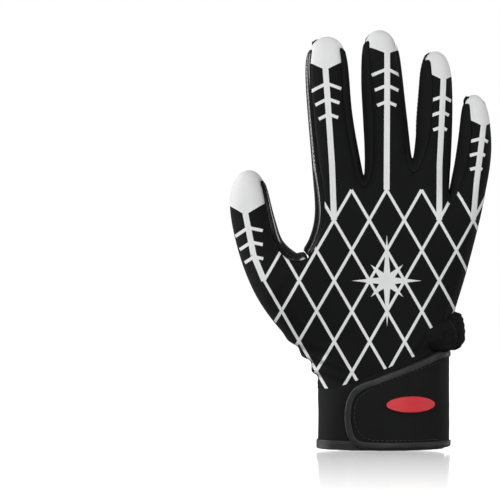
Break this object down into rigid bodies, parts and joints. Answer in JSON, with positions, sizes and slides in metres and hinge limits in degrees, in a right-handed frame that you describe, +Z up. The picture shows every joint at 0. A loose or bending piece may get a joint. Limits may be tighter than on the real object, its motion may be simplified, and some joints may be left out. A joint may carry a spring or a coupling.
{
  "type": "football glove",
  "caption": "Right-hand football glove as if worn: knit back with white fingertips and a line pattern, glossy tacky palm, knit side strips, bound cuff and a wrap strap with a plain red patch.",
  "frame": {"origin": "the middle of the wrist opening, level with the lower edge of the cuff's binding", "axes": "+Z runs up from the wrist to the fingertips, -Y is the back of the hand, +Y the palm, -X the thumb side and +X the little-finger side"},
  "size_m": [0.1437, 0.0511, 0.231],
  "materials": {
    "knit": "matt black stretch knit with white tips and lines",
    "tacky_palm": "glossy black silicone-coated palm",
    "side_knit": "matt dark knit",
    "wrist_band": "smooth matt foam-backed knit",
    "tape": "soft-sheen black binding tape",
    "red_patch": "satin red"
  },
  "bodies": {
    "root": {"back_panel": "knit", "palm_panel": "tacky_palm", "thumb_palm": "tacky_palm", "fourchette_index_middle": "side_knit", "fourchette_middle_ring": "side_knit", "fourchette_ring_little": "side_knit", "side_gather": "knit", "cuff": "wrist_band", "cuff_binding": "tape", "strap": "wrist_band", "strap_binding": "tape", "badge": "red_patch"}
  },
  "joints": []
}
